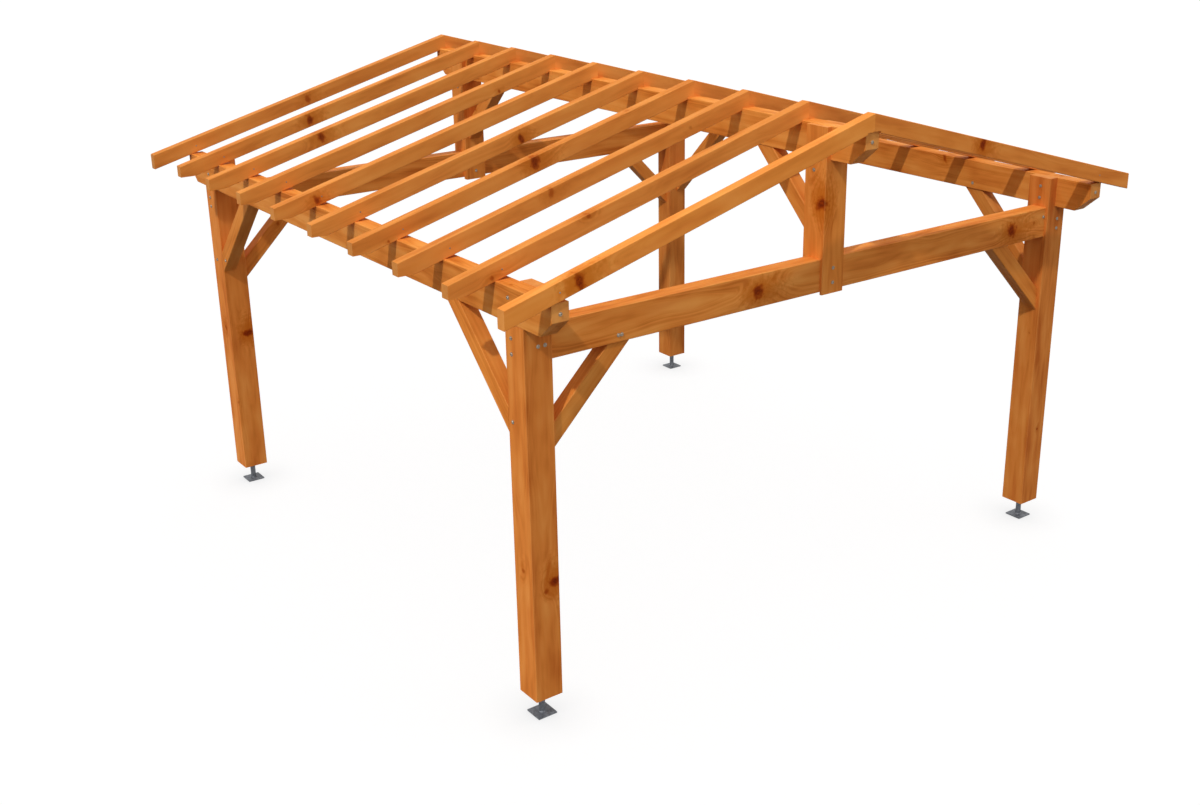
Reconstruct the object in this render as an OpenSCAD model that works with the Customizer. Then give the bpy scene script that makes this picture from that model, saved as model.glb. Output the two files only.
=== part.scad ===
// Timber pergola: an open gable-roofed post-and-beam frame on four steel post bases.
// X runs across the gable, Y along the ridge, Z up; the base plates stand on Z = 0.

/* [Plan] */
// Across the gable, outer face to outer face of the posts
post_span_x = 4000; // [3000:50:5000]
// Along the ridge, outer face to outer face of the posts
post_span_y = 3935; // [2600:5:5200]
// Height of the post's shoulder, on which the eave purlin sits
seat_h = 2139; // [1900:1:2700]

/* [Posts] */
// Side of the square posts
post_w = 160; // [140:1:200]
// Underside of the posts above the floor
post_lift = 125; // [90:1:200]
// How far the post's tongue stands above the purlin's top
tongue_proud = 0; // [0:1:20]

/* [Post bases] */
// Side of the square base plate
plate_w = 112; // [90:1:160]
// Thickness of the base plate
plate_t = 8; // [5:0.5:12]
// Diameter of the tube between the plates
tube_d = 34; // [26:0.5:48]
// Side of the top plate under the post's end grain
cap_w = 90; // [70:1:120]
// Thickness of the top plate
cap_t = 6; // [4:0.5:10]
// Diameter of the dowel that enters the post
dowel_d = 20; // [12:0.5:24]
// Length of the dowel above the top plate
dowel_l = 100; // [60:1:140]

/* [Purlins] */
// Width of the eave and ridge purlins
purlin_w = 95; // [70:1:110]
// Depth of the eave and ridge purlins
purlin_h = 182; // [150:1:220]
// Purlin beyond the post's outer face, at each end
purlin_over = 247; // [140:1:400]
// Length of the bevel under each purlin end
bevel_l = 105; // [40:1:130]
// Height of the bevel under each purlin end
bevel_h = 90; // [40:1:120]

/* [Tie beams] */
// Thickness of the tie beams
tie_w = 105; // [80:1:120]
// Tie beams' outer faces behind the posts' outer faces
tie_set = 16; // [0:1:30]
// Depth of the tie beams, whose top is level with the purlin seat
tie_h = 184; // [150:1:240]
// Thickness of the stub tenon at each end
tenon_t = 36; // [24:1:50]
// Length of the stub tenon
tenon_l = 60; // [30:1:90]
// Shoulder above and below the stub tenon
tenon_shoulder = 25; // [10:1:40]

/* [King posts] */
// Side of the square king posts
king_w = 160; // [140:1:200]
// King post's front face beyond the tie beam's face
king_proud = 16; // [8:1:30]
// King post's lips below the tie beam's underside
king_drop = 15; // [5:1:40]
// How far the cheeks stop below the ridge purlin's top
cheek_low = 4; // [0:1:60]

/* [Braces] */
// Width of the braces, seen square to the frame they stiffen
brace_w = 95; // [70:1:120]
// Thickness of the braces
brace_t = 86; // [50:1:95]
// Leg of the gable braces along post and tie beam
gable_leg = 478; // [300:1:650]
// Leg of the eave braces along post and purlin
eave_leg = 565; // [350:5:800]
// Leg of the ridge braces along king post and ridge purlin
ridge_leg = 440; // [250:5:500]

/* [Rafters] */
// Roof pitch in degrees
roof_pitch = 15.22; // [12:0.01:24]
// Width of the rafters
rafter_w = 58; // [45:1:80]
// Depth of the rafters, square to the slope
rafter_h = 93; // [80:1:130]
// Rafter beyond the post's outer face, measured level
rafter_over = 256; // [160:1:400]
// Outermost rafters' faces beyond the purlin ends
verge_over = 14; // [0:1:40]
// Height of the plumb face left by the level soffit cut of the inner rafters
tail_h = 70; // [50:1:80]
// Length of the bird's-mouth seats on the eave purlins; on the ridge purlin they take its whole top
seat_l = 12; // [6:0.5:40]

/* [Timber] */
// Bevel along the planed arrises, left sharp where a timber is cut
arris = 3; // [1:0.5:6]

/* [Fit] */
// Clearance round hidden tenons and dowels
fit_gap = 1; // [0.5:0.1:2]

/* [Hidden] */

$fn = 48;
timber = [0.80, 0.45, 0.18];
steel = [0.42, 0.43, 0.44];
rafter_pairs = 10;

half_x = post_span_x / 2;
half_y = post_span_y / 2;
end_y = half_y + purlin_over;
verge_y = end_y + verge_over;
slope = tan(roof_pitch);
plumb_h = rafter_h / cos(roof_pitch);
tie_z = seat_h - tie_h;
eave_top = seat_h + purlin_h;
// underside of the rafters at the eave purlin's outer face, and the ridge purlin's top
heel_z = eave_top - seat_l * slope;
ridge_top = heel_z + half_x * slope;
ridge_z = ridge_top - purlin_h;
tie_y = half_y - tie_set;
king_y = tie_y + king_proud;
tail_x = half_x + rafter_over;

// ---- placing: every corner piece is drawn at the front left ----
module flip_x(on) { if (on) mirror([1, 0, 0]) children(); else children(); }
module flip_y(on) { if (on) mirror([0, 1, 0]) children(); else children(); }
module corner(right, back) { flip_x(right) flip_y(back) children(); }

// a profile drawn in Y and Z, run along X from x0
module along_x(x0, length) { translate([x0, 0, 0]) rotate([90, 0, 90]) linear_extrude(length) children(); }
// a profile drawn in X and Z, run along Y from y0
module along_y(y0, length) { translate([0, y0 + length, 0]) rotate([90, 0, 0]) linear_extrude(length) children(); }
// a piece drawn in X and Z, turned into Y and Z
module swap_xy() { mirror([1, 0, 0]) rotate([0, 0, 90]) children(); }

// planed section with eased arrises
module section(w, h) {
    polygon([
        [arris, 0], [w - arris, 0], [w, arris], [w, h - arris],
        [w - arris, h], [arris, h], [0, h - arris], [0, arris]
    ]);
}

// ---- post base: plate, tube, top plate and dowel ----
module base_at_corner() {
    translate([post_w / 2 - half_x, post_w / 2 - half_y, 0]) {
        translate([-plate_w / 2, -plate_w / 2, 0]) cube([plate_w, plate_w, plate_t]);
        translate([0, 0, plate_t]) cylinder(d = tube_d, h = post_lift - cap_t - plate_t);
        translate([-cap_w / 2, -cap_w / 2, post_lift - cap_t]) cube([cap_w, cap_w, cap_t]);
        translate([0, 0, post_lift]) cylinder(d = dowel_d, h = dowel_l);
    }
}

// ---- post: full section to the shoulder, then a tongue beside the purlin ----
module post_at_corner() {
    difference() {
        translate([-half_x, -half_y, post_lift])
            linear_extrude(eave_top + tongue_proud - post_lift) section(post_w, post_w);
        // notch for the eave purlin, flush with the post's outer face
        translate([-half_x - 1, -half_y - 1, seat_h])
            cube([purlin_w + 1, post_w + 2, purlin_h + tongue_proud + 1]);
        // mortise for the tie beam's stub tenon
        translate([post_w - half_x - tenon_l - fit_gap, (tie_w - tenon_t) / 2 - tie_y - fit_gap,
                   tie_z + tenon_shoulder - fit_gap])
            cube([tenon_l + fit_gap + 1, tenon_t + 2 * fit_gap, tie_h - 2 * tenon_shoulder + 2 * fit_gap]);
        // bore for the post base's dowel
        translate([post_w / 2 - half_x, post_w / 2 - half_y, post_lift - 1])
            cylinder(d = dowel_d + 2 * fit_gap, h = dowel_l + fit_gap + 1);
    }
}

// ---- purlin, with its lower left edge at x0 and z0: bevelled under both ends ----
module purlin(x0, z0) {
    intersection() {
        along_y(-end_y, 2 * end_y) translate([x0, z0]) section(purlin_w, purlin_h);
        along_x(x0 - 1, purlin_w + 2) translate([0, z0]) polygon([
            [bevel_l - end_y, 0], [bevel_l - end_y, -1], [end_y - bevel_l, -1], [end_y - bevel_l, 0],
            [end_y, bevel_h], [end_y + 1, bevel_h], [end_y + 1, purlin_h + 1],
            [-end_y - 1, purlin_h + 1], [-end_y - 1, bevel_h], [-end_y, bevel_h]
        ]);
    }
}

// ---- tie beam: just behind the posts' outer faces, stub tenons into the posts ----
module tie_beam() {
    along_x(post_w - half_x, post_span_x - 2 * post_w) translate([-tie_y, tie_z]) section(tie_w, tie_h);
    translate([post_w - tenon_l - half_x, (tie_w - tenon_t) / 2 - tie_y, tie_z + tenon_shoulder])
        cube([post_span_x - 2 * post_w + 2 * tenon_l, tenon_t, tie_h - 2 * tenon_shoulder]);
}

// ---- king post: forked over the tie beam below and round the ridge purlin above ----
module king_post() {
    difference() {
        translate([-king_w / 2, -king_y, tie_z - king_drop])
            linear_extrude(ridge_top - cheek_low - tie_z + king_drop) section(king_w, king_w);
        translate([-king_w / 2 - 1, -tie_y, tie_z - king_drop - 1])
            cube([king_w + 2, tie_w, tie_h + king_drop + 1]);
        translate([-purlin_w / 2, -king_y - 1, ridge_z]) cube([purlin_w, king_w + 2, purlin_h]);
    }
}

// ---- brace under a corner at the origin: cut level and plumb on the faces it meets ----
module brace(leg) {
    intersection() {
        translate([0, -1, -leg - 1]) cube([leg + 1, brace_t + 2, leg + 1]);
        translate([0, 0, -leg]) rotate([0, -45, 0])
            along_x(-brace_w, leg * sqrt(2) + 2 * brace_w) section(brace_t, brace_w);
    }
}
// the gable braces stand centred under the tie beam
module gable_brace() { translate([post_w - half_x, (tie_w - brace_t) / 2 - tie_y, tie_z]) brace(gable_leg); }
module eave_brace() { translate([-half_x, post_w - half_y, seat_h]) swap_xy() brace(eave_leg); }
module ridge_brace() { translate([-brace_t / 2, king_w - king_y, ridge_z]) swap_xy() brace(ridge_leg); }

// ---- rafter number n of the left slope, counted from the front ----
// a sloping bar, cut plumb at tail and ridge and notched over the eave and ridge purlins
module rafter(n) {
    y0 = (n - 1) * (2 * verge_y - rafter_w) / (rafter_pairs - 1) - verge_y;
    tail_z = heel_z - rafter_over * slope;
    difference() {
        intersection() {
            translate([-tail_x, y0, tail_z]) rotate([0, -roof_pitch, 0])
                along_x(-rafter_h, tail_x / cos(roof_pitch) + 2 * rafter_h) section(rafter_w, rafter_h);
            translate([-tail_x, y0 - 1, 0]) cube([tail_x, rafter_w + 2, 2 * ridge_top]);
        }
        translate([-half_x, y0 - 1, seat_h]) cube([purlin_w, rafter_w + 2, purlin_h]);
        translate([-purlin_w / 2, y0 - 1, ridge_z]) cube([purlin_w, rafter_w + 2, purlin_h]);
        // a rafter that stands over a king post is notched over its cheeks too
        for (back = [false, true]) flip_y(back)
            translate([-king_w / 2, -king_y, ridge_z]) cube([king_w, king_w, purlin_h - cheek_low]);
        // level soffit cut under the tails of the inner rafters
        if (n > 1 && n < rafter_pairs)
            translate([-tail_x - 1, y0 - 1, seat_h])
                cube([rafter_over, rafter_w + 2, tail_z + plumb_h - tail_h - seat_h]);
    }
}

// ---- the parts ----
module post_base_front_left() { color(steel) corner(false, false) base_at_corner(); }
module post_base_front_right() { color(steel) corner(true, false) base_at_corner(); }
module post_base_back_left() { color(steel) corner(false, true) base_at_corner(); }
module post_base_back_right() { color(steel) corner(true, true) base_at_corner(); }
module post_front_left() { color(timber) corner(false, false) post_at_corner(); }
module post_front_right() { color(timber) corner(true, false) post_at_corner(); }
module post_back_left() { color(timber) corner(false, true) post_at_corner(); }
module post_back_right() { color(timber) corner(true, true) post_at_corner(); }
module eave_purlin_left() { color(timber) purlin(-half_x, seat_h); }
module eave_purlin_right() { color(timber) flip_x(true) purlin(-half_x, seat_h); }
module ridge_purlin() { color(timber) purlin(-purlin_w / 2, ridge_z); }
module tie_beam_front() { color(timber) tie_beam(); }
module tie_beam_back() { color(timber) flip_y(true) tie_beam(); }
module king_post_front() { color(timber) king_post(); }
module king_post_back() { color(timber) flip_y(true) king_post(); }
module gable_brace_front_left() { color(timber) corner(false, false) gable_brace(); }
module gable_brace_front_right() { color(timber) corner(true, false) gable_brace(); }
module gable_brace_back_left() { color(timber) corner(false, true) gable_brace(); }
module gable_brace_back_right() { color(timber) corner(true, true) gable_brace(); }
module eave_brace_front_left() { color(timber) corner(false, false) eave_brace(); }
module eave_brace_front_right() { color(timber) corner(true, false) eave_brace(); }
module eave_brace_back_left() { color(timber) corner(false, true) eave_brace(); }
module eave_brace_back_right() { color(timber) corner(true, true) eave_brace(); }
module ridge_brace_front() { color(timber) ridge_brace(); }
module ridge_brace_back() { color(timber) flip_y(true) ridge_brace(); }
module rafter_left_1() { color(timber) rafter(1); }
module rafter_left_2() { color(timber) rafter(2); }
module rafter_left_3() { color(timber) rafter(3); }
module rafter_left_4() { color(timber) rafter(4); }
module rafter_left_5() { color(timber) rafter(5); }
module rafter_left_6() { color(timber) rafter(6); }
module rafter_left_7() { color(timber) rafter(7); }
module rafter_left_8() { color(timber) rafter(8); }
module rafter_left_9() { color(timber) rafter(9); }
module rafter_left_10() { color(timber) rafter(10); }
module rafter_right_1() { color(timber) flip_x(true) rafter(1); }
module rafter_right_2() { color(timber) flip_x(true) rafter(2); }
module rafter_right_3() { color(timber) flip_x(true) rafter(3); }
module rafter_right_4() { color(timber) flip_x(true) rafter(4); }
module rafter_right_5() { color(timber) flip_x(true) rafter(5); }
module rafter_right_6() { color(timber) flip_x(true) rafter(6); }
module rafter_right_7() { color(timber) flip_x(true) rafter(7); }
module rafter_right_8() { color(timber) flip_x(true) rafter(8); }
module rafter_right_9() { color(timber) flip_x(true) rafter(9); }
module rafter_right_10() { color(timber) flip_x(true) rafter(10); }

post_base_front_left();
post_base_front_right();
post_base_back_left();
post_base_back_right();
post_front_left();
post_front_right();
post_back_left();
post_back_right();
eave_purlin_left();
eave_purlin_right();
ridge_purlin();
tie_beam_front();
tie_beam_back();
king_post_front();
king_post_back();
gable_brace_front_left();
gable_brace_front_right();
gable_brace_back_left();
gable_brace_back_right();
eave_brace_front_left();
eave_brace_front_right();
eave_brace_back_left();
eave_brace_back_right();
ridge_brace_front();
ridge_brace_back();
rafter_left_1();
rafter_left_2();
rafter_left_3();
rafter_left_4();
rafter_left_5();
rafter_left_6();
rafter_left_7();
rafter_left_8();
rafter_left_9();
rafter_left_10();
rafter_right_1();
rafter_right_2();
rafter_right_3();
rafter_right_4();
rafter_right_5();
rafter_right_6();
rafter_right_7();
rafter_right_8();
rafter_right_9();
rafter_right_10();
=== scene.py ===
import math
import random

import bpy
from mathutils import Matrix, Vector


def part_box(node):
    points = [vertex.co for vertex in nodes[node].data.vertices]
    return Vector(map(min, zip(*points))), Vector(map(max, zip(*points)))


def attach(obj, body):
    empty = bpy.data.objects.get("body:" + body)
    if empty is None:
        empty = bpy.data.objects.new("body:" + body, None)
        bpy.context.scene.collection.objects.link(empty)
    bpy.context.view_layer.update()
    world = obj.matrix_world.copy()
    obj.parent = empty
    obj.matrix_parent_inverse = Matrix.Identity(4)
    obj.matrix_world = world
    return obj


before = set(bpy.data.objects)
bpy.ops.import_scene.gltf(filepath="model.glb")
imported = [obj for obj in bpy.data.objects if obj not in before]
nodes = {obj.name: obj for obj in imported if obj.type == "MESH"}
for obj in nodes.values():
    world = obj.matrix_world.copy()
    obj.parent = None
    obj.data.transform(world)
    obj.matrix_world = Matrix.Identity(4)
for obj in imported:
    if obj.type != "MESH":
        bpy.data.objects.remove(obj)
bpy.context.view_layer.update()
scene = bpy.context.scene
mm = 0.001
print("frame loaded:", len(nodes), "parts")


def linear(hexColour):
    values = [int(hexColour[i:i + 2], 16) / 255 for i in (1, 3, 5)]
    return [v / 12.92 if v <= 0.04045 else ((v + 0.055) / 1.055) ** 2.4 for v in values] + [1.0]


def addNode(tree, kind, links=None, **settings):
    made = tree.nodes.new(kind)
    for name, value in settings.items():
        setattr(made, name, value)
    connect(tree, made, links or {})
    return made


def connect(tree, one, links):
    for key, value in links.items():
        if isinstance(value, bpy.types.NodeSocket):
            tree.links.new(value, one.inputs[key])
        else:
            one.inputs[key].default_value = value


def newGroup(name, inputs, outputs, kind="ShaderNodeTree"):
    group = bpy.data.node_groups.new(name, kind)
    for socketName, socketKind in inputs:
        group.interface.new_socket(socketName, in_out="INPUT", socket_type=socketKind)
    for socketName, socketKind in outputs:
        group.interface.new_socket(socketName, in_out="OUTPUT", socket_type=socketKind)
    return group, group.nodes.new("NodeGroupInput").outputs, group.nodes.new("NodeGroupOutput")


cameraSetup = {
    "place": (-5.327, -7.301, 4.206),
    "turn": (70.03, 0.39, -37.27),   # degrees
    "lens": 42.62,                   # mm
    "sensor": 36.0,                  # mm
    "shift": (-0.0377, -0.0263),
    "farthest": 1000,
}
cameraData = bpy.data.cameras.new("camera")
cameraData.lens = cameraSetup["lens"]
cameraData.sensor_width = cameraSetup["sensor"]
cameraData.shift_x, cameraData.shift_y = cameraSetup["shift"]
cameraData.clip_end = cameraSetup["farthest"]
camera = bpy.data.objects.new("camera", cameraData)
camera.location = cameraSetup["place"]
camera.rotation_euler = [math.radians(a) for a in cameraSetup["turn"]]
scene.collection.objects.link(camera)
scene.camera = camera
scene.view_settings.view_transform = "Standard"

lightSetup = {
    "travel": (0.604, 0.256, -0.755),   # the way the key light goes
    "lampPlace": (-4, -2, 6),
    "key": 1.53,       # about half the light on a face square to it; the sky gives the rest
    "keyAngle": 1.6,   # degrees across, so that shadow edges are slightly soft
    "zenith": 0.83,    # the sky's strength overhead
    "horizon": 0.61,
    "lean": (0.12, -0.09),   # the sky is a little paler on the right and in front
    "ground": 0.12,    # how much light the floor throws back on the object
    "floorSize": 400.0,
    "floorGlow": 0.84,
    "floorAlbedo": 0.24,
    "footShade": 0.30,   # how dark the painted soft shadow round a foot gets
    "footReach": 0.30,   # and how far it goes, in metres
}
keyData = bpy.data.lights.new("keyLight", "SUN")
keyData.energy = lightSetup["key"]
keyData.angle = math.radians(lightSetup["keyAngle"])
key = bpy.data.objects.new("keyLight", keyData)
key.rotation_euler = Vector(lightSetup["travel"]).to_track_quat("-Z", "Y").to_euler()
key.location = lightSetup["lampPlace"]
scene.collection.objects.link(key)

# soft sky, paler overhead than at the horizon, and plain white wherever it is looked at
world = bpy.data.worlds.new("studio")
scene.world = world
world.use_nodes = True
sky = world.node_tree
sky.nodes.clear()
upward = addNode(sky, "ShaderNodeSeparateXYZ", {0: addNode(sky, "ShaderNodeTexCoord").outputs["Generated"]})
lift = addNode(sky, "ShaderNodeMapRange", {
    "Value": upward.outputs["Z"], "From Min": 0.0, "From Max": 1.0,
    "To Min": lightSetup["horizon"], "To Max": lightSetup["zenith"]})
for axis, lean in zip("XY", lightSetup["lean"]):
    lift = addNode(sky, "ShaderNodeMath", {0: upward.outputs[axis], 1: lean, 2: lift.outputs[0]},
                   operation="MULTIPLY_ADD")
soft = addNode(sky, "ShaderNodeBackground", {"Color": linear("#FFFFFF"), "Strength": lift.outputs[0]})
white = addNode(sky, "ShaderNodeBackground", {"Color": linear("#FFFFFF"), "Strength": 1.0})
path = addNode(sky, "ShaderNodeLightPath")
seen = addNode(sky, "ShaderNodeMath", {
    0: addNode(sky, "ShaderNodeMath", {0: path.outputs["Is Camera Ray"], 1: path.outputs["Is Glossy Ray"]},
               operation="MAXIMUM").outputs[0],
    1: path.outputs["Is Transmission Ray"]}, operation="MAXIMUM")
pick = addNode(sky, "ShaderNodeMixShader", {0: seen.outputs[0], 1: soft.outputs[0], 2: white.outputs[0]})
addNode(sky, "ShaderNodeOutputWorld", {0: pick.outputs[0]})

# plain pale floor: looked at, it is white with the soft shadows round the feet; it throws little light back
half = lightSetup["floorSize"] / 2
floorMesh = bpy.data.meshes.new("floor")
floorMesh.from_pydata([(-half, -half, 0), (half, -half, 0), (half, half, 0), (-half, half, 0)], [], [(0, 1, 2, 3)])
floor = bpy.data.objects.new("floor", floorMesh)
scene.collection.objects.link(floor)
floorLook = bpy.data.materials.new("paleStudioFloor")
floorLook.use_nodes = True
tree = floorLook.node_tree
tree.nodes.clear()
path = addNode(tree, "ShaderNodeLightPath")
seen = addNode(tree, "ShaderNodeMath", {0: path.outputs["Is Camera Ray"], 1: path.outputs["Is Glossy Ray"]},
               operation="MAXIMUM")
paint = addNode(tree, "ShaderNodeBsdfDiffuse", {"Color": [lightSetup["floorAlbedo"]] * 3 + [1]})
# painted shadow: the floor's white glow dims where ambient occlusion finds a foot near, standing in for the feet's
# soft shadows
corner = addNode(tree, "ShaderNodeAmbientOcclusion", {"Distance": lightSetup["footReach"]}, samples=6)
shade = addNode(tree, "ShaderNodeMapRange", {
    "Value": corner.outputs["AO"], "From Min": 0.0, "From Max": 1.0,
    "To Min": lightSetup["floorGlow"] * (1 - lightSetup["footShade"]), "To Max": lightSetup["floorGlow"]})
glow = addNode(tree, "ShaderNodeEmission", {"Color": linear("#FFFFFF"), "Strength": shade.outputs[0]})
seenFloor = addNode(tree, "ShaderNodeAddShader", {0: paint.outputs[0], 1: glow.outputs[0]})
dull = addNode(tree, "ShaderNodeBsdfDiffuse", {"Color": [lightSetup["ground"]] * 3 + [1]})
pick = addNode(tree, "ShaderNodeMixShader", {0: seen.outputs[0], 1: dull.outputs[0], 2: seenFloor.outputs[0]})
addNode(tree, "ShaderNodeOutputMaterial", {0: pick.outputs[0]})
floorMesh.materials.append(floorLook)

# the key light is for the object; the floor has the sky's soft shadows only, and the shadow painted round the feet
lit = bpy.data.collections.new("keyLit")
scene.collection.children.link(lit)
for part in nodes.values():
    lit.objects.link(part)
key.light_linking.receiver_collection = lit
print("camera, light and floor ready")

# Planed spruce under a thin orange-brown glaze: growth rings and fibres show through, knots take the stain darker
timberLook = {
    "pale": "#F39F4B",
    "middle": "#E78B39",
    "deep": "#CB6D24",
    "red": "#D2622A",
    "knot": "#9A3800",
    "heart": "#742500",
    "rim": "#B24C02",
    "halo": "#C8680E",
    # the paler colour of sawn ends, also used for the highlight painted along the arrises
    "endGrainAndHighlight": "#EEAA62",
    # the hue and fading of the shade painted on the roof rafters' side faces
    "sideShadeHue": 0.0028,
    "sideShadeFade": 0.013,
    "ringSpacing": 14 * mm,   # real rings are 2 to 5 mm apart; drawn coarser, so that they show
    "streakWidth": 45 * mm,   # bands of slower and faster growth
    "fibreWidth": 2.5 * mm,
    "roughness": 0.62,
    "specular": 0.12,         # an oily glaze, nearly matt
    "bendReach": 0.05,        # how far the stem's bends move the rings, in metres
    "blotchesPerMetre": 9.0,  # about 110 mm across
    "redsPerMetre": 20.0,     # about 50 mm across
    "streakWeight": 0.60,
    "blotchWeight": 0.70,
    "fibreWeight": 0.09,
    "swirlReach": 18 * mm,    # where the rings are pushed this far aside, they show at their plainest
    "swirlRings": 0.42,
    "redShare": 0.16,
    "haloShare": 0.80,
    "rimShare": 0.85,
    "heartsPerMetre": 90.0,   # about 11 mm across, inside a knot
    "knotDullness": 0.25,
    # how strongly the painted highlight along the arrises shows
    "arrisHighlight": 0.18,
    "endPaleness": 0.35,
    "bumpStrength": 0.25,
    "bumpDepth": 0.6 * mm,
}

knotLook = {
    "rootShare": 0.35,        # the branch is this much of its full size at the pith
    "taperReach": 0.09,       # and full at this distance, in metres
    "wobblesPerMetre": 45.0,  # about 22 mm, the unevenness of the knot's edge
    "ragged": 0.3,            # how far that edge moves in and out
    "drawnOut": 0.42,         # stain and grain are drawn out along the timber by this
    "coreFade": (0.3, 1.45),  # where the knot, its stain and its push on the rings fade, in radii
    "haloFade": (0.7, 3.0),
    "pushFade": (0.4, 4.0),
}
knotGroup, given, result = newGroup(
    "branchKnot",
    [("Vector", "NodeSocketVector"), ("Station", "NodeSocketVector"), ("Branch", "NodeSocketVector"),
     ("Radius", "NodeSocketFloat"), ("Strength", "NodeSocketFloat"), ("Squash", "NodeSocketVector"),
     ("Core", "NodeSocketFloat"), ("Halo", "NodeSocketFloat"), ("Push", "NodeSocketFloat")],
    [("Core", "NodeSocketFloat"), ("Halo", "NodeSocketFloat"), ("Push", "NodeSocketFloat")])
t = knotGroup
fromRoot = addNode(t, "ShaderNodeVectorMath", {0: given["Vector"], 1: given["Station"]}, operation="SUBTRACT")
along = addNode(t, "ShaderNodeVectorMath", {0: fromRoot.outputs[0], 1: given["Branch"]}, operation="DOT_PRODUCT")
ahead = addNode(t, "ShaderNodeMath", {0: along.outputs["Value"], 1: 0.0}, operation="MAXIMUM")
foot = addNode(t, "ShaderNodeVectorMath", {0: given["Branch"], "Scale": ahead.outputs[0]}, operation="SCALE")
off = addNode(t, "ShaderNodeVectorMath", {0: fromRoot.outputs[0], 1: foot.outputs[0]}, operation="SUBTRACT")
off = addNode(t, "ShaderNodeVectorMath", {0: off.outputs[0], 1: given["Squash"]}, operation="MULTIPLY")
# the branch is thinner towards the pith
taper = addNode(t, "ShaderNodeMapRange",
                {"Value": ahead.outputs[0], "From Min": 0.0, "From Max": knotLook["taperReach"],
                 "To Min": knotLook["rootShare"], "To Max": 1.0})
radius = addNode(t, "ShaderNodeMath", {0: given["Radius"], 1: taper.outputs[0]}, operation="MULTIPLY")
wobble = addNode(t, "ShaderNodeTexNoise",
                 {"Vector": given["Vector"], "Scale": knotLook["wobblesPerMetre"], "Detail": 2.0})
ragged = addNode(t, "ShaderNodeMapRange", {"Value": wobble.outputs["Fac"], "From Min": 0.3, "From Max": 0.7,
                                           "To Min": 1 - knotLook["ragged"], "To Max": 1 + knotLook["ragged"]})
far = addNode(t, "ShaderNodeVectorMath", {0: off.outputs[0]}, operation="LENGTH")
share = addNode(t, "ShaderNodeMath", {0: far.outputs["Value"], 1: radius.outputs[0]}, operation="DIVIDE")
share = addNode(t, "ShaderNodeMath", {0: share.outputs[0], 1: ragged.outputs[0]}, operation="MULTIPLY")
core = addNode(t, "ShaderNodeMapRange", {"Value": share.outputs[0], "From Min": knotLook["coreFade"][0],
                                         "From Max": knotLook["coreFade"][1], "To Min": 1.0, "To Max": 0.0},
               interpolation_type="SMOOTHSTEP")
# stain and grain are drawn out along the timber on both sides of the knot
flat = addNode(t, "ShaderNodeVectorMath", {0: off.outputs[0], 1: (knotLook["drawnOut"], 1.0, 1.0)},
               operation="MULTIPLY")
near = addNode(t, "ShaderNodeVectorMath", {0: flat.outputs[0]}, operation="LENGTH")
spread = addNode(t, "ShaderNodeMath", {0: near.outputs["Value"], 1: radius.outputs[0]}, operation="DIVIDE")
stain = addNode(t, "ShaderNodeMath", {0: spread.outputs[0], 1: ragged.outputs[0]}, operation="MULTIPLY")
halo = addNode(t, "ShaderNodeMapRange", {"Value": stain.outputs[0], "From Min": knotLook["haloFade"][0],
                                         "From Max": knotLook["haloFade"][1], "To Min": 1.0, "To Max": 0.0},
               interpolation_type="SMOOTHSTEP")
push = addNode(t, "ShaderNodeMapRange", {"Value": spread.outputs[0], "From Min": knotLook["pushFade"][0],
                                         "From Max": knotLook["pushFade"][1], "To Min": 1.0, "To Max": 0.0},
               interpolation_type="SMOOTHSTEP")
push = addNode(t, "ShaderNodeMath", {0: push.outputs[0], 1: radius.outputs[0]}, operation="MULTIPLY")
for name, own, how in (("Core", core, "MAXIMUM"), ("Halo", halo, "MAXIMUM"), ("Push", push, "ADD")):
    if name != "Push":
        own = addNode(t, "ShaderNodeMath", {0: own.outputs[0], 1: given["Strength"]}, operation="MULTIPLY")
    both = addNode(t, "ShaderNodeMath", {0: own.outputs[0], 1: given[name]}, operation=how)
    t.links.new(both.outputs[0], result.inputs[name])

timberGroup, given, result = newGroup(
    "glazedSpruce",
    [("Vector", "NodeSocketVector"), ("Grain", "NodeSocketVector"), ("Side", "NodeSocketVector"),
     ("Shift", "NodeSocketVector"), ("Tone", "NodeSocketFloat"), ("Hue", "NodeSocketFloat"),
     ("Rings", "NodeSocketFloat"), ("Figure", "NodeSocketFloat"), ("PaintedSideShade", "NodeSocketFloat"),
     ("Lift", "NodeSocketFloat"), ("Core", "NodeSocketFloat"), ("Halo", "NodeSocketFloat"),
     ("Push", "NodeSocketFloat")],
    [("Color", "NodeSocketColor"), ("Roughness", "NodeSocketFloat"), ("Height", "NodeSocketFloat")])
t = timberGroup
moved = addNode(t, "ShaderNodeVectorMath", {0: given["Vector"], 1: given["Shift"]}, operation="ADD")
# slow bends of the stem turn the rings into arches on the faces
bendAt = addNode(t, "ShaderNodeVectorMath", {0: moved.outputs[0], 1: (1.3, 5.0, 5.0)}, operation="MULTIPLY")
bend = addNode(t, "ShaderNodeTexNoise", {"Vector": bendAt.outputs[0], "Scale": 1.0, "Detail": 2.0, "Roughness": 0.45})
bendBy = addNode(t, "ShaderNodeMapRange", {"Value": bend.outputs["Fac"], "From Min": 0.0, "From Max": 1.0,
                                           "To Min": -timberLook["bendReach"], "To Max": timberLook["bendReach"]})
across = addNode(t, "ShaderNodeVectorMath", {0: given["Vector"], 1: (0.0, 1.0, 1.0)}, operation="MULTIPLY")
reach = addNode(t, "ShaderNodeVectorMath", {0: across.outputs[0]}, operation="LENGTH")
ring = addNode(t, "ShaderNodeMath", {0: reach.outputs["Value"], 1: bendBy.outputs[0]}, operation="ADD")
ring = addNode(t, "ShaderNodeMath", {0: ring.outputs[0], 1: given["Push"]}, operation="ADD")
ringAt = addNode(t, "ShaderNodeMath", {0: ring.outputs[0], 1: 1 / timberLook["ringSpacing"]}, operation="MULTIPLY")
ringBand = addNode(t, "ShaderNodeTexNoise", {"W": ringAt.outputs[0], "Scale": 1.0, "Detail": 2.0, "Roughness": 0.6},
                   noise_dimensions="1D")
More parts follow.
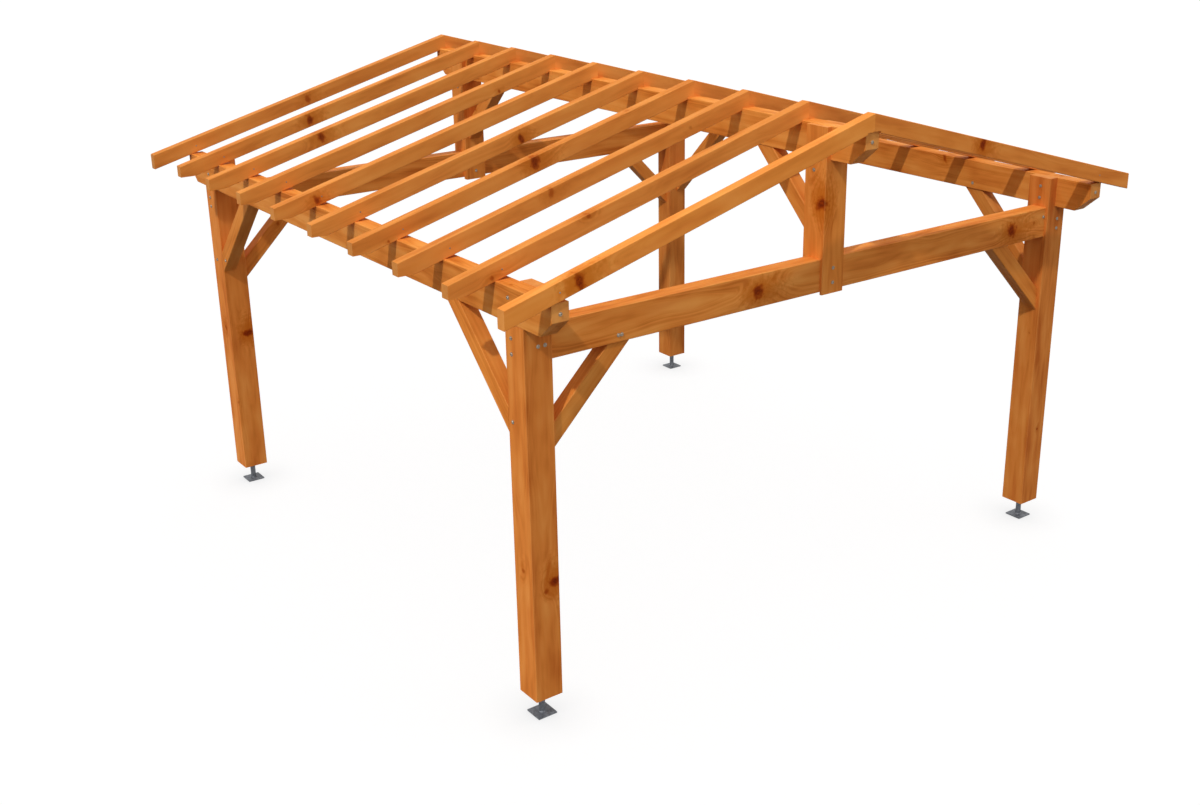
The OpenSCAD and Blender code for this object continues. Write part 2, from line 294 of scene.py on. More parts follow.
# early wood is broad and pale, late wood a thin darker line
lateWood = addNode(t, "ShaderNodeMapRange", {"Value": ringBand.outputs["Fac"], "From Min": 0.40, "From Max": 0.66,
                                             "To Min": 0.75, "To Max": 0.15},
                   interpolation_type="SMOOTHSTEP")
streakAt = addNode(t, "ShaderNodeVectorMath", {0: moved.outputs[0], 1: (0.09, 1.0, 1.0)}, operation="MULTIPLY")
streak = addNode(t, "ShaderNodeTexNoise", {"Vector": streakAt.outputs[0], "Scale": 1 / timberLook["streakWidth"],
                                           "Detail": 2.0, "Roughness": 0.5})
blotchAt = addNode(t, "ShaderNodeVectorMath", {0: moved.outputs[0], 1: (0.35, 1.0, 1.0)}, operation="MULTIPLY")
blotch = addNode(t, "ShaderNodeTexNoise", {"Vector": blotchAt.outputs[0], "Scale": timberLook["blotchesPerMetre"],
                                           "Detail": 2.0, "Roughness": 0.5})
fibreAt = addNode(t, "ShaderNodeVectorMath", {0: moved.outputs[0], 1: (0.02, 1.0, 1.0)}, operation="MULTIPLY")
fibre = addNode(t, "ShaderNodeTexNoise",
                {"Vector": fibreAt.outputs[0], "Scale": 1 / timberLook["fibreWidth"], "Detail": 3.0})
# the rings show most where they swirl round a knot
swirl = addNode(t, "ShaderNodeMapRange",
                {"Value": given["Push"], "From Min": 0.0, "From Max": timberLook["swirlReach"],
                 "To Min": given["Rings"], "To Max": timberLook["swirlRings"]})
mixed = None
figures = ((lateWood, swirl.outputs[0]), (streak, timberLook["streakWeight"]),
           (blotch, timberLook["blotchWeight"]), (fibre, timberLook["fibreWeight"]))
for source, weight in figures:
    centred = addNode(t, "ShaderNodeMath", {0: source.outputs[0], 1: 0.5}, operation="SUBTRACT")
    mixed = addNode(t, "ShaderNodeMath", {0: centred.outputs[0], 1: weight, 2: mixed.outputs[0] if mixed else 0.5},
                    operation="MULTIPLY_ADD")
centred = addNode(t, "ShaderNodeMath", {0: mixed.outputs[0], 1: 0.5}, operation="SUBTRACT")
mixed = addNode(t, "ShaderNodeMath", {0: centred.outputs[0], 1: given["Figure"], 2: 0.5}, operation="MULTIPLY_ADD")
ramp = addNode(t, "ShaderNodeValToRGB", {0: mixed.outputs[0]})
ramp.color_ramp.elements[0].position = 0.25
ramp.color_ramp.elements[0].color = linear(timberLook["deep"])
ramp.color_ramp.elements[1].position = 0.75
ramp.color_ramp.elements[1].color = linear(timberLook["pale"])
ramp.color_ramp.elements.new(0.5).color = linear(timberLook["middle"])
# redder where the stain has gone in deeper
warmAt = addNode(t, "ShaderNodeVectorMath", {0: moved.outputs[0], 1: (0.10, 1.0, 1.0)}, operation="MULTIPLY")
warm = addNode(t, "ShaderNodeTexNoise",
               {"Vector": warmAt.outputs[0], "Scale": timberLook["redsPerMetre"], "Detail": 2.0})
warmth = addNode(t, "ShaderNodeMapRange", {"Value": warm.outputs["Fac"], "From Min": 0.5, "From Max": 0.8,
                                           "To Min": 0.0, "To Max": timberLook["redShare"]},
                 interpolation_type="SMOOTHSTEP")
colour = addNode(t, "ShaderNodeMix", {0: warmth.outputs[0], 6: ramp.outputs["Color"], 7: linear(timberLook["red"])},
                 data_type="RGBA")
haloAmount = addNode(t, "ShaderNodeMath", {0: given["Halo"], 1: timberLook["haloShare"]}, operation="MULTIPLY")
colour = addNode(t, "ShaderNodeMix", {0: haloAmount.outputs[0], 6: colour.outputs[2], 7: linear(timberLook["halo"])},
                 data_type="RGBA")
# a knot: a brown rim, then red-brown, darkest in the heart
rimAmount = addNode(t, "ShaderNodeMapRange", {"Value": given["Core"], "From Min": 0.0, "From Max": 0.5,
                                              "To Min": 0.0, "To Max": timberLook["rimShare"]})
colour = addNode(t, "ShaderNodeMix", {0: rimAmount.outputs[0], 6: colour.outputs[2], 7: linear(timberLook["rim"])},
                 data_type="RGBA")
inside = addNode(t, "ShaderNodeTexNoise",
                 {"Vector": given["Vector"], "Scale": timberLook["heartsPerMetre"], "Detail": 2.0})
heartShare = addNode(t, "ShaderNodeMapRange", {"Value": inside.outputs["Fac"], "From Min": 0.35, "From Max": 0.65,
                                               "To Min": 0.0, "To Max": 1.0})
knotColour = addNode(t, "ShaderNodeMix", {0: heartShare.outputs[0], 6: linear(timberLook["knot"]),
                                          7: linear(timberLook["heart"])}, data_type="RGBA")
coreAmount = addNode(t, "ShaderNodeMapRange",
                     {"Value": given["Core"], "From Min": 0.4, "From Max": 1.0, "To Min": 0.0, "To Max": 1.0},
                     interpolation_type="SMOOTHSTEP")
colour = addNode(t, "ShaderNodeMix", {0: coreAmount.outputs[0], 6: colour.outputs[2], 7: knotColour.outputs[2]},
                 data_type="RGBA")
# painted highlight: the arrises are painted paler, as if they caught the light
normal = addNode(t, "ShaderNodeTexCoord").outputs["Normal"]
onGrain = addNode(t, "ShaderNodeVectorMath", {0: normal, 1: given["Grain"]}, operation="DOT_PRODUCT")
onSide = addNode(t, "ShaderNodeVectorMath", {0: normal, 1: given["Side"]}, operation="DOT_PRODUCT")
spare = addNode(t, "ShaderNodeMath", {0: onGrain.outputs["Value"], 1: onGrain.outputs["Value"]}, operation="MULTIPLY")
sideShare = addNode(t, "ShaderNodeMath", {0: onSide.outputs["Value"], 1: onSide.outputs["Value"]},
                    operation="MULTIPLY")
thirdShare = addNode(t, "ShaderNodeMath",
                     {0: 1.0, 1: addNode(t, "ShaderNodeMath", {0: spare.outputs[0], 1: sideShare.outputs[0]},
                                         operation="ADD").outputs[0]},
                     operation="SUBTRACT")
arris = addNode(t, "ShaderNodeMath", {0: sideShare.outputs[0], 1: thirdShare.outputs[0]}, operation="MULTIPLY")
paintedHighlight = addNode(t, "ShaderNodeMapRange", {"Value": arris.outputs[0], "From Min": 0.05, "From Max": 0.25,
                                         "To Min": 0.0, "To Max": timberLook["arrisHighlight"]})
colour = addNode(t, "ShaderNodeMix", {0: paintedHighlight.outputs[0], 6: colour.outputs[2], 7: linear(timberLook["endGrainAndHighlight"])},
                 data_type="RGBA")
# sawn ends drink less glaze and stay paler
square = addNode(t, "ShaderNodeMath", {0: onGrain.outputs["Value"]}, operation="ABSOLUTE")
endMask = addNode(t, "ShaderNodeMapRange", {"Value": square.outputs[0], "From Min": 0.6, "From Max": 0.9,
                                            "To Min": 0.0, "To Max": timberLook["endPaleness"]})
colour = addNode(t, "ShaderNodeMix", {0: endMask.outputs[0], 6: colour.outputs[2], 7: linear(timberLook["endGrainAndHighlight"])},
                 data_type="RGBA")
# painted shade: the side faces of the roof's rafters, which stand in shade between their neighbours, are painted a
# little browner and duller than the rest
sideShadeAmount = addNode(t, "ShaderNodeMath", {0: sideShare.outputs[0], 1: given["PaintedSideShade"]}, operation="MULTIPLY")
hue = addNode(t, "ShaderNodeMath", {0: sideShadeAmount.outputs[0], 1: timberLook["sideShadeHue"], 2: given["Hue"]},
              operation="MULTIPLY_ADD")
strength = addNode(t, "ShaderNodeMath", {0: sideShadeAmount.outputs[0], 1: -timberLook["sideShadeFade"], 2: 1.0},
                   operation="MULTIPLY_ADD")
# painted light: the faces square to the side direction are painted paler, where the light falls on them more strongly
sideLightFactor = addNode(t, "ShaderNodeMath", {0: sideShare.outputs[0], 1: given["Lift"], 2: 1.0}, operation="MULTIPLY_ADD")
tone = addNode(t, "ShaderNodeMath", {0: given["Tone"], 1: sideLightFactor.outputs[0]}, operation="MULTIPLY")
toned = addNode(t, "ShaderNodeHueSaturation", {
    "Color": colour.outputs[2], "Hue": hue.outputs[0], "Saturation": strength.outputs[0], "Value": tone.outputs[0]})
t.links.new(toned.outputs[0], result.inputs["Color"])
rough = addNode(t, "ShaderNodeMapRange", {"Value": mixed.outputs[0], "From Min": 0.2, "From Max": 0.8,
                                         "To Min": timberLook["roughness"] + 0.1,
                                         "To Max": timberLook["roughness"] - 0.05})
# a knot is duller than the wood round it
rough = addNode(t, "ShaderNodeMath", {0: given["Core"], 1: timberLook["knotDullness"], 2: rough.outputs[0]},
                operation="MULTIPLY_ADD")
t.links.new(rough.outputs[0], result.inputs["Roughness"])
grainHeight = addNode(t, "ShaderNodeMath", {0: fibre.outputs["Fac"], 1: 0.5, 2: ringBand.outputs["Fac"]},
                      operation="MULTIPLY_ADD")
t.links.new(grainHeight.outputs[0], result.inputs["Height"])


def timberMaterial(name, centre, turn, pith, knots, look, shift):
    material = bpy.data.materials.new("glazedSpruce_" + name)
    material.use_nodes = True
    tree = material.node_tree
    tree.nodes.clear()
    place = addNode(tree, "ShaderNodeTexCoord")
    # local X runs along the grain, and the pith is at local Y and Z nought
    local = addNode(tree, "ShaderNodeMapping", {
        "Vector": place.outputs["Object"], "Rotation": turn.to_euler(),
        "Location": -(turn @ centre) - Vector((0, *pith))})
    marks = {"Core": 0.0, "Halo": 0.0, "Push": 0.0}
    for station, y, z, size, strength, squash in knots:
        outward = Vector((0, y - pith[0], z - pith[1]))
        rise = branchRise * outward.length
        one = addNode(tree, "ShaderNodeGroup", node_tree=knotGroup)
        connect(tree, one, {
            "Vector": local.outputs[0], "Station": (station - rise, 0, 0),
            "Branch": (outward + Vector((rise, 0, 0))).normalized(),
            "Radius": size / 2, "Strength": strength, "Squash": (1, squash, squash), **marks})
        marks = {mark: one.outputs[mark] for mark in marks}
    wood = addNode(tree, "ShaderNodeGroup", node_tree=timberGroup)
    connect(tree, wood,
            {"Vector": local.outputs[0], "Grain": turn[0], "Side": turn[1], "Shift": shift, **look, **marks})
    bump = addNode(tree, "ShaderNodeBump", {"Height": wood.outputs["Height"], "Strength": timberLook["bumpStrength"],
                                            "Distance": timberLook["bumpDepth"]})
    shader = addNode(tree, "ShaderNodeBsdfPrincipled", {
        "Base Color": wood.outputs["Color"], "Roughness": wood.outputs["Roughness"],
        "Specular IOR Level": timberLook["specular"], "Normal": bump.outputs[0]})
    addNode(tree, "ShaderNodeOutputMaterial", {0: shader.outputs[0]})
    return material


branchRise = 0.3   # branches grow upwards by this much for each metre outwards
roofPitch = 15.22  # degrees
slope = math.tan(math.radians(roofPitch))
tieLow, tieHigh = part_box("tie_beam_front")

# grain direction, one side direction, the section along that side and the other one in mm, how far its hue is from
# the common one, how plainly its rings show, and how strong its figure is
timberKinds = {
    "post_": ((0, 0, 1), (1, 0, 0), 160, 160, -0.0022, 0.13, 1.05),
    "king_post": ((0, 0, 1), (1, 0, 0), 160, 160, 0.0, 0.14, 0.9),
    "eave_purlin": ((0, 1, 0), (0, 0, 1), 182, 95, 0.0015, 0.16, 1.3),
    "ridge_purlin": ((0, 1, 0), (0, 0, 1), 182, 95, 0.002, 0.16, 1.3),
    "tie_beam": ((1, 0, 0), (0, 1, 0), 105, 184, 0.0, 0.27, 1.05),
    "rafter_left": ((1, 0, slope), (0, 1, 0), 58, 93, 0.0016, 0.18, 0.75),
    "rafter_right": ((1, 0, -slope), (0, 1, 0), 58, 93, -0.0005, 0.18, 0.75),
    "gable_brace": ((1, 0, 1), (0, 1, 0), 86, 95, 0.001, 0.17, 0.9),
    "eave_brace": ((0, 1, 1), (1, 0, 0), 86, 95, 0.001, 0.15, 0.9),
    "ridge_brace": ((0, 1, 1), (1, 0, 0), 86, 95, 0.001, 0.15, 0.9),
}
# timbers darker or paler than the others, in steps of a twentieth, set from brightness ratios of photograph to render
# in view; the darker tones of the right-hand posts, brace and purlin are painted shade, where the light falls off to
# the right; timbers that took the glaze darker or paler than the others, in steps of a twentieth, set by hand with a
# scratch program's brightness ratios of photograph to render in view
tonesAndShadeByTimber = {
    "post_front_left": 0.95, "post_front_right": 0.85, "post_back_right": 0.85,
    "eave_brace_front_left": 0.95, "eave_brace_back_left": 1.05, "eave_brace_front_right": 0.80,
    "gable_brace_front_left": 0.90, "gable_brace_front_right": 0.95,
    "eave_purlin_left": 1.05, "eave_purlin_right": 0.90, "ridge_purlin": 1.05, "king_post_front": 1.05,
    "rafter_left_1": 1.15, "rafter_left_10": 0.90, "rafter_right_1": 1.05, "rafter_right_2": 0.90,
}
# painted light: how much paler the faces square to a timber's side direction are painted, where the light falls on
# them more strongly
sideLightByTimber = {"post_front_left": 0.2, "post_back_left": 0.1, "eave_brace_front_left": 0.3}
faceWays = {"front": (0, -1, 0), "left": (-1, 0, 0)}

# The few largest knots, judged one by one: the face, how far along the timber (from its foot, its left end, its lower
# end, or on the right-hand rafters the ridge), how far from the face's middle towards its edge, size (mm), darkness,
# and squash, which is less than 1 where the knot is drawn out across the grain
largeKnots = {
    "post_front_left": [("front", 0.3, 0.7, 50, 1.0, 0.7), ("front", 0.28, 0.0, 30, 0.6, 1.0),
                        ("left", 0.33, 0.0, 30, 0.45, 1.0)],
    "post_back_left": [("front", 0.45, 0.5, 50, 1.0, 0.6), ("left", 0.47, 0.0, 35, 0.6, 1.0)],
    "king_post_front": [("left", 0.55, -0.7, 65, 1.0, 1.0)],
    "tie_beam_front": [("front", 0.36, 0.0, 80, 1.0, 1.0), ("front", 0.9, 0.0, 80, 1.0, 0.9)],
    "rafter_left_1": [("front", 1 / 6, 0.0, 60, 1.0, 0.65)],
    "rafter_left_3": [("front", 0.4, 0.2, 40, 0.5, 0.65)],
    "rafter_left_4": [("front", 0.5, 0.0, 60, 1.0, 0.65)],
    "rafter_left_5": [("front", 0.6, -0.6, 35, 1.0, 0.65)],
    "rafter_left_6": [("front", 0.1, -0.6, 35, 0.9, 0.65)],
    "rafter_left_8": [("front", 1 / 3, 0.0, 50, 0.9, 0.65)],
    "rafter_left_9": [("front", 0.4, -0.3, 45, 1.0, 0.65)],
    "rafter_left_10": [("front", 0.5, 0.0, 45, 0.6, 0.65)],
    "rafter_right_1": [("front", 3 / 8, 0.4, 45, 1.0, 0.6)],
}
# the small knots, in whorls along the stem, with (least, most) of each size
whorls = {
    "seed": 41, "first": (0.15, 0.5), "apart": (0.6, 1.2), "scatter": 0.03, "outward": 0.06,   # metres
    "size": (12, 30), "strength": (0.25, 0.7),
}
slimTimber = 100   # mm; thicker timbers hold the pith, slimmer ones are cut beside it
# the rafters behind the front pair: their tone, and how much paler their side faces are painted (painted light)
roofTone, roofSideLight = 0.97, 0.07
rng = random.Random(whorls["seed"])

for name, part in nodes.items():
    if name.startswith("post_base"):
        continue
    grain, side, deepA, deepB, hue, rings, figure = next(kind for start,
                                                         kind in timberKinds.items() if name.startswith(start))
    grain, side = Vector(grain), Vector(side)
    if "brace" in name and ("right" in name if "gable" in name else "back" in name):
        grain.z = -1
    grain.normalize()
    turn = Matrix((grain, side, grain.cross(side)))
    low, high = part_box(name)
    length = (high - low).length if "brace" in name else max(high - low)
    halfSize = (0, deepA * mm / 2, deepB * mm / 2)
    pith = [rng.uniform(-0.02, 0.02), rng.uniform(-0.02, 0.02)]
    if deepA < slimTimber:
        pith = [rng.uniform(0.035, 0.06), rng.uniform(-0.03, 0.03)]
    knots = []
    for face, along, across, size, strength, squash in largeKnots.get(name, []):
        way = turn @ Vector(faceWays[face])
        out, over = (1, 2) if abs(way.y) > abs(way.z) else (2, 1)
        point = [(along - 0.5) * length, 0, 0]
        point[out] = math.copysign(halfSize[out], way[out])
        point[over] = across * halfSize[over]
        knots.append((*point, size * mm, strength, squash))
    station = -length / 2 + rng.uniform(*whorls["first"])
    while station < length / 2:
        for _ in range(rng.choice((1, 1, 2))):
            angle = rng.uniform(0, math.tau)
            at = station + rng.uniform(-whorls["scatter"], whorls["scatter"])
            y, z = pith[0] + whorls["outward"] * math.cos(angle), pith[1] + whorls["outward"] * math.sin(angle)
            knots.append((at, y, z, rng.uniform(*whorls["size"]) * mm, rng.uniform(*whorls["strength"]), 1.0))
        station += rng.uniform(*whorls["apart"])
    inRoof = name.startswith("rafter") and not name.endswith("_1")   # all rafters but the front pair
    tone = tonesAndShadeByTimber.get(name, roofTone if inRoof else 1.0) * rng.uniform(0.985, 1.015)
    # the look also carries the painted light and painted shade on the side faces
    look = {"Tone": tone, "Hue": 0.5 + hue, "Rings": rings, "Figure": figure, "PaintedSideShade": float(inRoof),
            "Lift": sideLightByTimber.get(name, roofSideLight if inRoof else 0.0)}
    shift = [rng.uniform(0, 50) for _ in range(3)]
    part.data.materials.clear()
    part.data.materials.append(timberMaterial(name, (low + high) / 2, turn, pith, knots, look, shift))
print("timber ready")

# Hot-dip galvanised steel, weathered to a dull dark grey
steelLook = {
    "pale": "#85888E", "deep": "#4D5056", "metallic": 0.45, "spangle": 9 * mm,
    "cloudsPerMetre": 30.0,   # about 33 mm across
    "smoothest": 0.42, "roughest": 0.62, "bumpStrength": 0.15, "bumpDepth": 0.4 * mm,
}
steel = bpy.data.materials.new("galvanisedSteel")
steel.use_nodes = True
tree = steel.node_tree
tree.nodes.clear()
place = addNode(tree, "ShaderNodeTexCoord")
spangle = addNode(tree, "ShaderNodeTexVoronoi",
                  {"Vector": place.outputs["Object"], "Scale": 1 / steelLook["spangle"]})
cloud = addNode(tree, "ShaderNodeTexNoise",
                {"Vector": place.outputs["Object"], "Scale": steelLook["cloudsPerMetre"], "Detail": 4.0})
both = addNode(tree, "ShaderNodeMath", {0: spangle.outputs["Color"], 1: 0.35, 2: cloud.outputs["Fac"]},
               operation="MULTIPLY_ADD")
ramp = addNode(tree, "ShaderNodeValToRGB", {0: both.outputs[0]})
ramp.color_ramp.elements[0].position = 0.35
ramp.color_ramp.elements[0].color = linear(steelLook["deep"])
ramp.color_ramp.elements[1].position = 0.95
ramp.color_ramp.elements[1].color = linear(steelLook["pale"])
rough = addNode(tree, "ShaderNodeMapRange", {"Value": cloud.outputs["Fac"], "From Min": 0.3, "From Max": 0.7,
                                             "To Min": steelLook["smoothest"], "To Max": steelLook["roughest"]})
bump = addNode(tree, "ShaderNodeBump", {"Height": cloud.outputs["Fac"], "Strength": steelLook["bumpStrength"],
                                        "Distance": steelLook["bumpDepth"]})
shader = addNode(tree, "ShaderNodeBsdfPrincipled", {
    "Base Color": ramp.outputs["Color"], "Metallic": steelLook["metallic"], "Roughness": rough.outputs[0],
    "Normal": bump.outputs[0]})
addNode(tree, "ShaderNodeOutputMaterial", {0: shader.outputs[0]})
for name, part in nodes.items():
    if name.startswith("post_base"):
        part.data.materials.clear()
        part.data.materials.append(steel)
print("steel ready")

# Zinc-plated steel heads, brighter than the feet
zincLook = {
    "pale": "#ADA290", "deep": "#7C7264", "metallic": 0.75, "smoothest": 0.32, "roughest": 0.5,
    "mottlesPerMetre": 220.0,   # about 4.5 mm across
}
zinc = bpy.data.materials.new("zincPlatedSteel")
zinc.use_nodes = True
tree = zinc.node_tree
tree.nodes.clear()
place = addNode(tree, "ShaderNodeTexCoord")
cloud = addNode(tree, "ShaderNodeTexNoise",
                {"Vector": place.outputs["Object"], "Scale": zincLook["mottlesPerMetre"], "Detail": 3.0})
ramp = addNode(tree, "ShaderNodeValToRGB", {0: cloud.outputs["Fac"]})
ramp.color_ramp.elements[0].position = 0.3
ramp.color_ramp.elements[0].color = linear(zincLook["deep"])
ramp.color_ramp.elements[1].position = 0.7
ramp.color_ramp.elements[1].color = linear(zincLook["pale"])
rough = addNode(tree, "ShaderNodeMapRange", {"Value": cloud.outputs["Fac"], "From Min": 0.3, "From Max": 0.7,
                                             "To Min": zincLook["smoothest"], "To Max": zincLook["roughest"]})
shader = addNode(tree, "ShaderNodeBsdfPrincipled", {"Base Color": ramp.outputs["Color"],
                                                    "Metallic": zincLook["metallic"], "Roughness": rough.outputs[0]})
addNode(tree, "ShaderNodeOutputMaterial", {0: shader.outputs[0]})

# A lathe-turned head: radius in head radii and height in head heights, from its back in the wood to the socket
headProfile = [(0.0, -0.35), (1.25, -0.35), (1.25, 0.22), (1.0, 0.30), (0.97, 0.52), (0.80, 0.82), (0.52, 0.97),
               (0.40, 1.0), (0.34, 0.62), (0.0, 0.55)]

# A weld bead round a tube's foot, a closed ring
beadProfile = [(0.97, 0.0), (1.30, 0.0), (1.27, 0.45), (1.14, 0.85), (0.97, 1.0), (0.97, 0.0)]
weldTogether = 0.01 * mm   # closes the seam and the poles


def latheTree(name, profile):
    group, given, result = newGroup(
        name,
        [("Geometry", "NodeSocketGeometry"), ("Diameter", "NodeSocketFloat"), ("Height", "NodeSocketFloat"),
         ("Sides", "NodeSocketInt"), ("Seed", "NodeSocketInt"), ("Material", "NodeSocketMaterial")],
        [("Geometry", "NodeSocketGeometry")], "GeometryNodeTree")
    t = group
    rows = len(profile)
    columns = addNode(t, "ShaderNodeMath", {0: given["Sides"], 1: 1}, operation="ADD")
    grid = addNode(t, "GeometryNodeMeshGrid", {"Vertices X": columns.outputs[0], "Vertices Y": rows})
    index = addNode(t, "GeometryNodeInputIndex")
    row = addNode(t, "ShaderNodeMath", {0: index.outputs[0], 1: rows}, operation="MODULO")
    column = addNode(t, "ShaderNodeMath",
                     {0: addNode(t, "ShaderNodeMath", {0: index.outputs[0], 1: rows}, operation="DIVIDE").outputs[0]},
                     operation="FLOOR")
    angle = addNode(t, "ShaderNodeMath", {0: column.outputs[0], 1: given["Sides"]}, operation="DIVIDE")
    angle = addNode(t, "ShaderNodeMath", {0: angle.outputs[0], 1: math.tau}, operation="MULTIPLY")
    ring, level = (addNode(t, "GeometryNodeIndexSwitch", {"Index": row.outputs[0]},
                           data_type="FLOAT") for _ in range(2))
    while len(ring.index_switch_items) < rows:
        ring.index_switch_items.new()
        level.index_switch_items.new()
    for k, (r, h) in enumerate(profile):
        ring.inputs[k + 1].default_value = r
        level.inputs[k + 1].default_value = h
    radius = addNode(t, "ShaderNodeMath", {0: ring.outputs[0], 1: given["Diameter"]}, operation="MULTIPLY")
    radius = addNode(t, "ShaderNodeMath", {0: radius.outputs[0], 1: 0.5}, operation="MULTIPLY")
    height = addNode(t, "ShaderNodeMath", {0: level.outputs[0], 1: given["Height"]}, operation="MULTIPLY")
    x = addNode(t, "ShaderNodeMath", {0: addNode(t, "ShaderNodeMath", {0: angle.outputs[0]},
                                                 operation="COSINE").outputs[0], 1: radius.outputs[0]},
                operation="MULTIPLY")
    y = addNode(t, "ShaderNodeMath", {0: addNode(t, "ShaderNodeMath", {0: angle.outputs[0]},
                                                 operation="SINE").outputs[0], 1: radius.outputs[0]},
                operation="MULTIPLY")
    turned = addNode(t, "ShaderNodeCombineXYZ", {0: x.outputs[0], 1: y.outputs[0], 2: height.outputs[0]})
    lathe = addNode(t, "GeometryNodeSetPosition", {"Geometry": grid.outputs["Mesh"], "Position": turned.outputs[0]})
    closed = addNode(t, "GeometryNodeMergeByDistance", {"Geometry": lathe.outputs[0], "Distance": weldTogether})
    facing = addNode(t, "GeometryNodeInputNamedAttribute", {"Name": "facing"}, data_type="FLOAT_VECTOR")
    aim = addNode(t, "FunctionNodeAlignRotationToVector", {"Vector": facing.outputs[0]}, axis="Z")
    spin = addNode(t, "FunctionNodeRandomValue", {"Min": 0.0, "Max": math.tau, "Seed": given["Seed"]},
                   data_type="FLOAT")
    spun = addNode(t, "FunctionNodeAxisAngleToRotation", {"Axis": (0, 0, 1)})
    t.links.new(spin.outputs[1], spun.inputs["Angle"])
    both = addNode(t, "FunctionNodeRotateRotation", {0: aim.outputs[0], 1: spun.outputs[0]}, rotation_space="LOCAL")
    placed = addNode(t, "GeometryNodeInstanceOnPoints",
                     {"Points": given["Geometry"], "Instance": closed.outputs[0], "Rotation": both.outputs[0]})
    real = addNode(t, "GeometryNodeRealizeInstances", {0: placed.outputs[0]})
    shown = addNode(t, "GeometryNodeSetMaterial", {"Geometry": real.outputs[0], "Material": given["Material"]})
    t.links.new(shown.outputs[0], result.inputs[0])
    return group


def turnedPiece(name, places, tree, values):
    mesh = bpy.data.meshes.new(name + "Places")
    mesh.from_pydata([p for p, _ in places], [], [])
    facings = mesh.attributes.new("facing", "FLOAT_VECTOR", "POINT")
    facings.data.foreach_set("vector", [c for _, f in places for c in f])
    holder = bpy.data.objects.new(name + "Places", mesh)
    scene.collection.objects.link(holder)
    modifier = holder.modifiers.new("heads", "NODES")
    modifier.node_group = tree
    for item in tree.interface.items_tree:
        if item.item_type == "SOCKET" and item.in_out == "INPUT" and item.name in values:
            modifier[item.identifier] = values[item.name]
    made = bpy.data.meshes.new_from_object(holder.evaluated_get(bpy.context.evaluated_depsgraph_get()))
    bpy.data.objects.remove(holder)
    made.name = name
    if "facing" in made.attributes:
        made.attributes.remove(made.attributes["facing"])
    piece = bpy.data.objects.new(name, made)
    scene.collection.objects.link(piece)
    lit.objects.link(piece)
    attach(piece, "root")


# Through-bolts and heavy screws at the joints. Nearly all their places are a scratch program's readings of the
# photograph, rounded after a look at enlarged crops. On a post, each is at a share of the post's side, counted from
# its outer arris, and so many mm below the purlin's seat. The others are at shares of a beam's height or width.
jointBolts = {
    "gableFace": {"left": [(0.5, 100), (0.75, 100)], "right": [(0.4, 80), (0.4, 140)]},
    "eaveFace": {"front": [(2 / 3, 70), (2 / 3, 150), (0.75, 500)], "back": [(0.4, 70), (0.4, 130), (0.4, 500)]},
    "purlinFace": {"front": (0.75, 0.7), "back": (0.5, 0.5)},
    "tongueFace": [(0.45, 0.7), (0.45, 0.3)],
    "tieAtBrace": (400, 420, 0.2),      # mm from the post's inner face
    "tieEnd": (20, 0.7),
    "purlinInner": (500, 0.2),
    "braceFoot": (60, 475),             # mm from the post's inner face, and below the seat
    "kingFoot": (0.25, 0.7),
    "kingCheek": (0.57, 60),            # behind the king post's front, and mm below the ridge purlin
    "purlinEnd": 0.7,
    "head": {"Diameter": 16.5 * mm, "Height": 7 * mm, "Sides": 20, "Seed": 3, "Material": zinc},
}
rafterScrews = {
    "inboard": 40, "above": 40,
    "head": {"Diameter": 7 * mm, "Height": 2 * mm, "Sides": 14, "Seed": 5, "Material": zinc},
}

bolts, screws = [], []
seat = tieHigh.z
tieDeep = tieHigh.z - tieLow.z
for sideName, sx in (("left", -1), ("right", 1)):
    for endName, sy in (("front", -1), ("back", 1)):
        low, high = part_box(f"post_{endName}_{sideName}")
        outX, inX = (low.x, high.x) if sx < 0 else (high.x, low.x)
        outY, inY = (low.y, high.y) if sy < 0 else (high.y, low.y)
        outwardX, outwardY = (sx, 0, 0), (0, sy, 0)
        post = high.x - low.x
        purlinLow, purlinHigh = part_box("eave_purlin_" + sideName)
        purlinDeep = purlinHigh.z - purlinLow.z
        for inboard, drop in jointBolts["gableFace"][sideName]:
            bolts.append(((outX - sx * inboard * post, outY, seat - drop * mm), outwardY))
        for inboard, drop in jointBolts["eaveFace"][endName]:
            bolts.append(((outX, outY - sy * inboard * post, seat - drop * mm), outwardX))
        inboard, share = jointBolts["purlinFace"][endName]
        bolts.append(((outX, outY - sy * inboard * post, seat + share * purlinDeep), outwardX))
        for inboard, share in jointBolts["tongueFace"]:
            bolts.append(((inX, outY - sy * inboard * post, seat + share * purlinDeep), (-sx, 0, 0)))
        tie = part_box("tie_beam_" + endName)
        tieFace = tie[0].y if sy < 0 else tie[1].y
        first, second, share = jointBolts["tieAtBrace"]
        for along in (first, second) if sideName == "left" else ():
            bolts.append(((inX - sx * along * mm, tieFace, tieLow.z + share * tieDeep), outwardY))
        if sideName == "right":
            along, share = jointBolts["tieEnd"]
            bolts.append(((inX - sx * along * mm, tieFace, tieLow.z + share * tieDeep), outwardY))
        along, share = jointBolts["purlinInner"]
        innerFace = purlinHigh.x if sx < 0 else purlinLow.x
        bolts.append(((innerFace, inY - sy * along * mm, seat + share * purlinDeep), (-sx, 0, 0)))
        if endName == "back":
            along, drop = jointBolts["braceFoot"]
            bolts.append(((outX, inY - sy * along * mm, seat - drop * mm), outwardX))
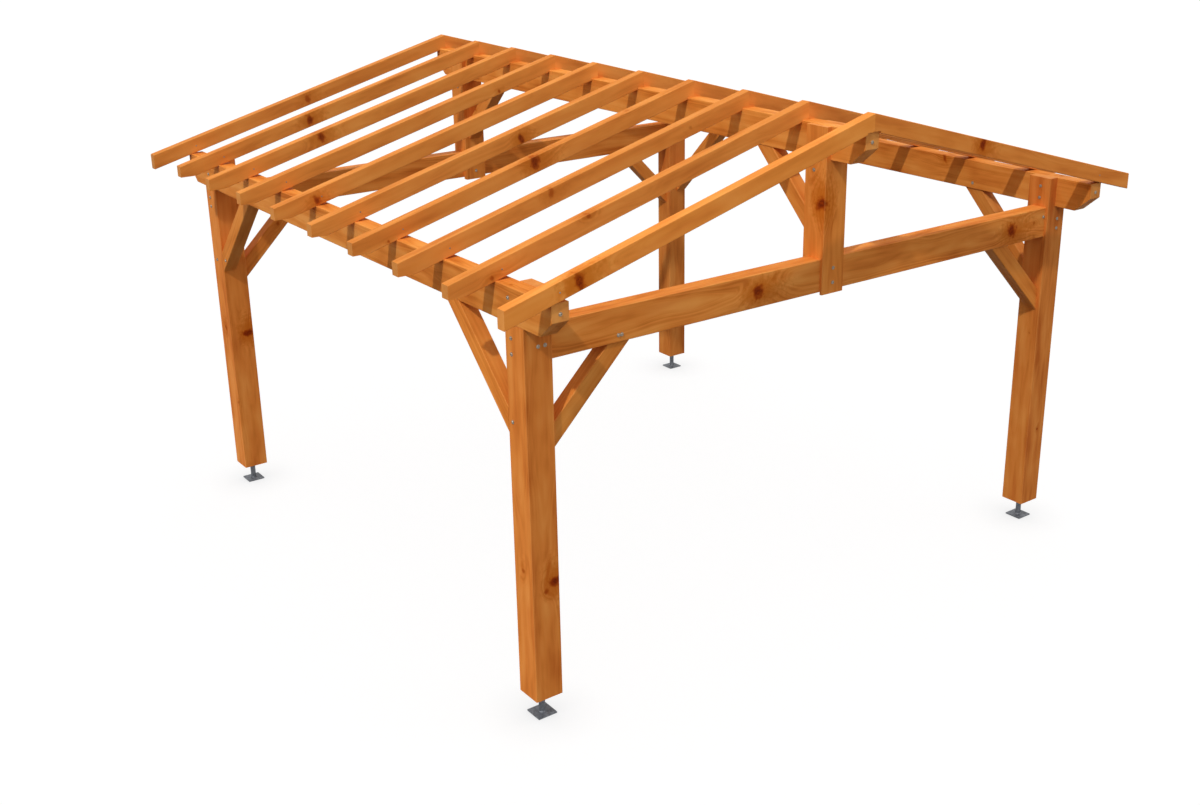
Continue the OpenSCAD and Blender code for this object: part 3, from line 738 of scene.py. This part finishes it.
for name in ("eave_purlin_left", "eave_purlin_right", "ridge_purlin"):
    low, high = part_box(name)
    for y, sy in ((low.y, -1), (high.y, 1)):
        bolts.append((((low.x + high.x) / 2, y, low.z + jointBolts["purlinEnd"] * (high.z - low.z)), (0, sy, 0)))
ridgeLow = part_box("ridge_purlin")[0]
for endName, sy in (("front", -1), ("back", 1)):
    low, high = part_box("king_post_" + endName)
    outY, inY = (low.y, high.y) if sy < 0 else (high.y, low.y)
    for share in jointBolts["kingFoot"]:
        bolts.append(((0, outY, tieLow.z + share * tieDeep), (0, sy, 0)))
        bolts.append(((0, inY, tieLow.z + share * tieDeep), (0, -sy, 0)))
    behind, drop = jointBolts["kingCheek"]
    for x, sx in ((low.x, -1), (high.x, 1)):
        bolts.append(((x, outY - sy * behind * (high.x - low.x), ridgeLow.z - drop * mm), (sx, 0, 0)))
for name in nodes:
    if name.startswith("rafter_"):
        low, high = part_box(name)
        sx = -1 if "left" in name else 1
        eaveLow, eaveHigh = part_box("eave_purlin_left" if sx < 0 else "eave_purlin_right")
        outX = eaveLow.x if sx < 0 else eaveHigh.x
        x = outX - sx * rafterScrews["inboard"] * mm
        z = eaveHigh.z + (rafterScrews["inboard"] * slope + rafterScrews["above"]) * mm
        screws.append(((x, low.y, z), (0, -1, 0)))
weldBeads = {
    "plate": 8,   # mm, the base plate's thickness
    "bead": {"Diameter": 34 * mm, "Height": 7 * mm, "Sides": 28, "Seed": 7, "Material": steel},
}
beads = []
for name in nodes:
    if name.startswith("post_base"):
        low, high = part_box(name)
        beads.append((((low.x + high.x) / 2, (low.y + high.y) / 2, low.z + weldBeads["plate"] * mm), (0, 0, 1)))
roundHeads = latheTree("roundHeads", headProfile)
turnedPiece("jointBolts", bolts, roundHeads, jointBolts["head"])
turnedPiece("rafterScrews", screws, roundHeads, rafterScrews["head"])
turnedPiece("weldBeads", beads, latheTree("roundBeads", beadProfile), weldBeads["bead"])
print("fasteners ready:", len(bolts), "bolts,", len(screws), "screws and", len(beads), "weld beads")
